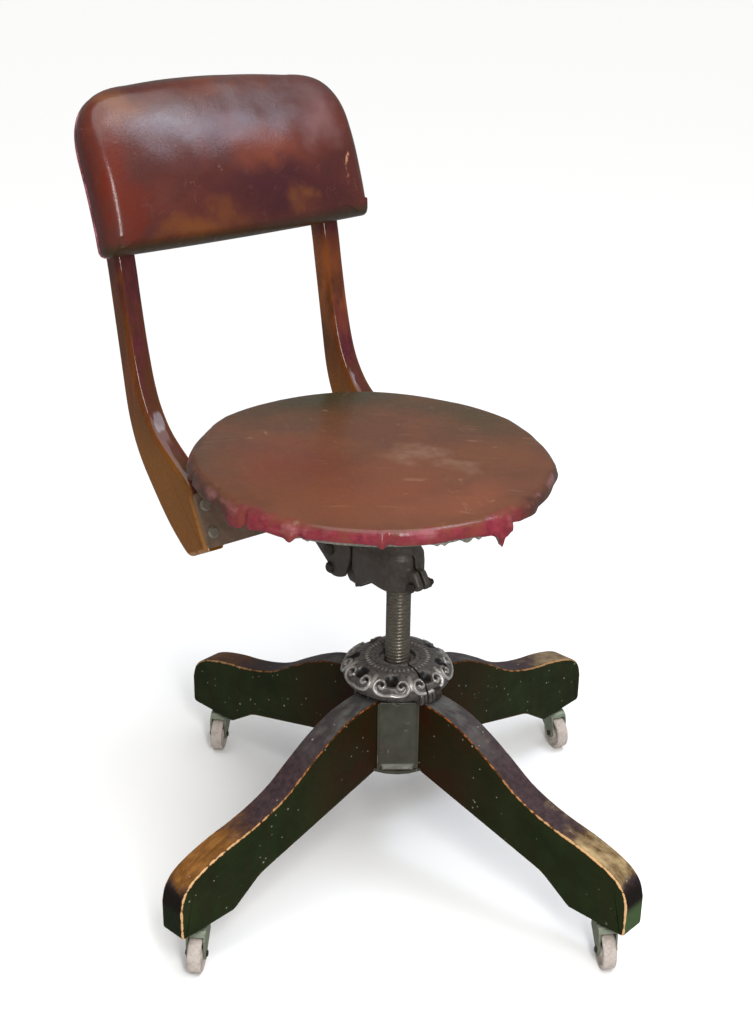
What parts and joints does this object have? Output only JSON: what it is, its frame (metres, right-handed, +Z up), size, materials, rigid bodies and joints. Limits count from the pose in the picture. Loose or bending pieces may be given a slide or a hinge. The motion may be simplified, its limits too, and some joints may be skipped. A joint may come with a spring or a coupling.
{
  "type": "swivel office chair",
  "caption": "Wooden swivel office chair with a round padded seat on a threaded height screw, a sprung padded back on curved posts, and a cross of shaped legs on casters.",
  "frame": {"origin": "on the floor, under the middle of the bounding box at rest", "axes": "+Z up; the sitter faces -Y and the back stands at +Y; +X is the sitter's left-hand side"},
  "size_m": [0.6544, 0.716, 0.8094],
  "materials": {
    "painted_wood": "old dark paint, worn to the wood on the edges",
    "varnished_wood": "varnished",
    "plywood": "bare",
    "cast_iron": "as cast, thin dark paint",
    "steel": "dull, darkened",
    "zinc": "zinc plated, satin",
    "bronze": "turned",
    "wheel": "matt, aged",
    "seat_cover": "glossy oilcloth, scratched",
    "back_cover": "glossy oilcloth, creased"
  },
  "bodies": {
    "base": {"leg_right": "painted_wood", "leg_rear": "painted_wood", "leg_left": "painted_wood", "leg_front": "painted_wood", "hub_casting": "cast_iron", "hub_base_plate": "cast_iron", "thrust_washer": "bronze", "guide_bush": "bronze", "leg_screw_right": "steel", "leg_screw_rear": "steel", "leg_screw_left": "steel", "leg_screw_front": "steel", "caster_socket_right": "steel", "caster_socket_rear": "steel", "caster_socket_left": "steel", "caster_socket_front": "steel"},
    "collar": {"adjusting_ring": "cast_iron"},
    "clamp": {"clamp_screw": "steel"},
    "seat": {"spindle": "steel", "seat_spider": "cast_iron", "pinch_bolt": "steel", "pinch_nut": "steel", "seat_board": "plywood", "seat_cushion": "seat_cover", "recline_spring": "steel", "seat_screw_1": "steel", "seat_screw_2": "steel", "seat_screw_3": "steel", "seat_screw_4": "steel"},
    "back": {"back_yoke": "cast_iron", "pivot_bolt": "steel", "tie_bolt": "steel", "back_crossbar": "steel", "yoke_rivet_left": "steel", "yoke_rivet_right": "steel", "foot_bolt_1": "steel", "foot_bolt_2": "steel", "foot_bolt_3": "steel", "foot_bolt_4": "steel", "back_post_left": "varnished_wood", "back_post_right": "varnished_wood", "back_panel": "plywood", "back_cushion": "back_cover", "panel_screw_1": "steel", "panel_screw_2": "steel", "panel_screw_3": "steel", "panel_screw_4": "steel"},
    "fork_right": {"caster_fork_right": "zinc", "caster_axle_right": "steel"},
    "wheel_right": {"caster_wheel_right": "wheel"},
    "fork_rear": {"caster_fork_rear": "zinc", "caster_axle_rear": "steel"},
    "wheel_rear": {"caster_wheel_rear": "wheel"},
    "fork_left": {"caster_fork_left": "zinc", "caster_axle_left": "steel"},
    "wheel_left": {"caster_wheel_left": "wheel"},
    "fork_front": {"caster_fork_front": "zinc", "caster_axle_front": "steel"},
    "wheel_front": {"caster_wheel_front": "wheel"}
  },
  "joints": [
    {"name": "seat_swivel", "type": "hinge", "parent": "base", "child": "collar", "pos_m": [0, -0.0306, 0.211], "axis": [0, 0, 1], "continuous": true},
    {"name": "clamp_turn", "type": "hinge", "parent": "collar", "child": "clamp", "pos_m": [-0.00497, -0.08738, 0.2174], "axis": [0.9962, -0.0872, 0], "range_deg": [0, 180]},
    {"name": "seat_height", "type": "slide", "parent": "collar", "child": "seat", "axis": [0, 0, 1], "range_m": [-0.07, 0.07]},
    {"name": "back_recline", "type": "hinge", "parent": "seat", "child": "back", "pos_m": [0, 0.0574, 0.344], "axis": [-1, 0, 0], "range_deg": [0, 12], "stiffness_Nm_per_rad": 60, "springref_deg": -20.05, "deforming": ["recline_spring"]},
    {"name": "caster_swivel_right", "type": "hinge", "parent": "base", "child": "fork_right", "pos_m": [0.29043, 0.02114, 0.05], "axis": [0, 0, 1], "continuous": true},
    {"name": "wheel_roll_right", "type": "hinge", "parent": "fork_right", "child": "wheel_right", "pos_m": [0.28657, 0.00664, 0.0197], "axis": [0.9664, -0.2571, 0], "continuous": true},
    {"name": "caster_swivel_rear", "type": "hinge", "parent": "base", "child": "fork_rear", "pos_m": [-0.05173, 0.25983, 0.05], "axis": [0, 0, 1], "continuous": true},
    {"name": "wheel_roll_rear", "type": "hinge", "parent": "fork_rear", "child": "wheel_rear", "pos_m": [-0.06232, 0.24921, 0.0197], "axis": [0.7083, -0.7059, 0], "continuous": true},
    {"name": "caster_swivel_left", "type": "hinge", "parent": "base", "child": "fork_left", "pos_m": [-0.29043, -0.08233, 0.05], "axis": [0, 0, 1], "continuous": true},
    {"name": "wheel_roll_left", "type": "hinge", "parent": "fork_left", "child": "wheel_left", "pos_m": [-0.30045, -0.09349, 0.0197], "axis": [0.7443, -0.6678, 0], "continuous": true},
    {"name": "caster_swivel_front", "type": "hinge", "parent": "base", "child": "fork_front", "pos_m": [0.05173, -0.32102, 0.05], "axis": [0, 0, 1], "continuous": true},
    {"name": "wheel_roll_front", "type": "hinge", "parent": "fork_front", "child": "wheel_front", "pos_m": [0.04426, -0.33403, 0.0197], "axis": [0.8669, -0.4985, 0], "continuous": true}
  ]
}
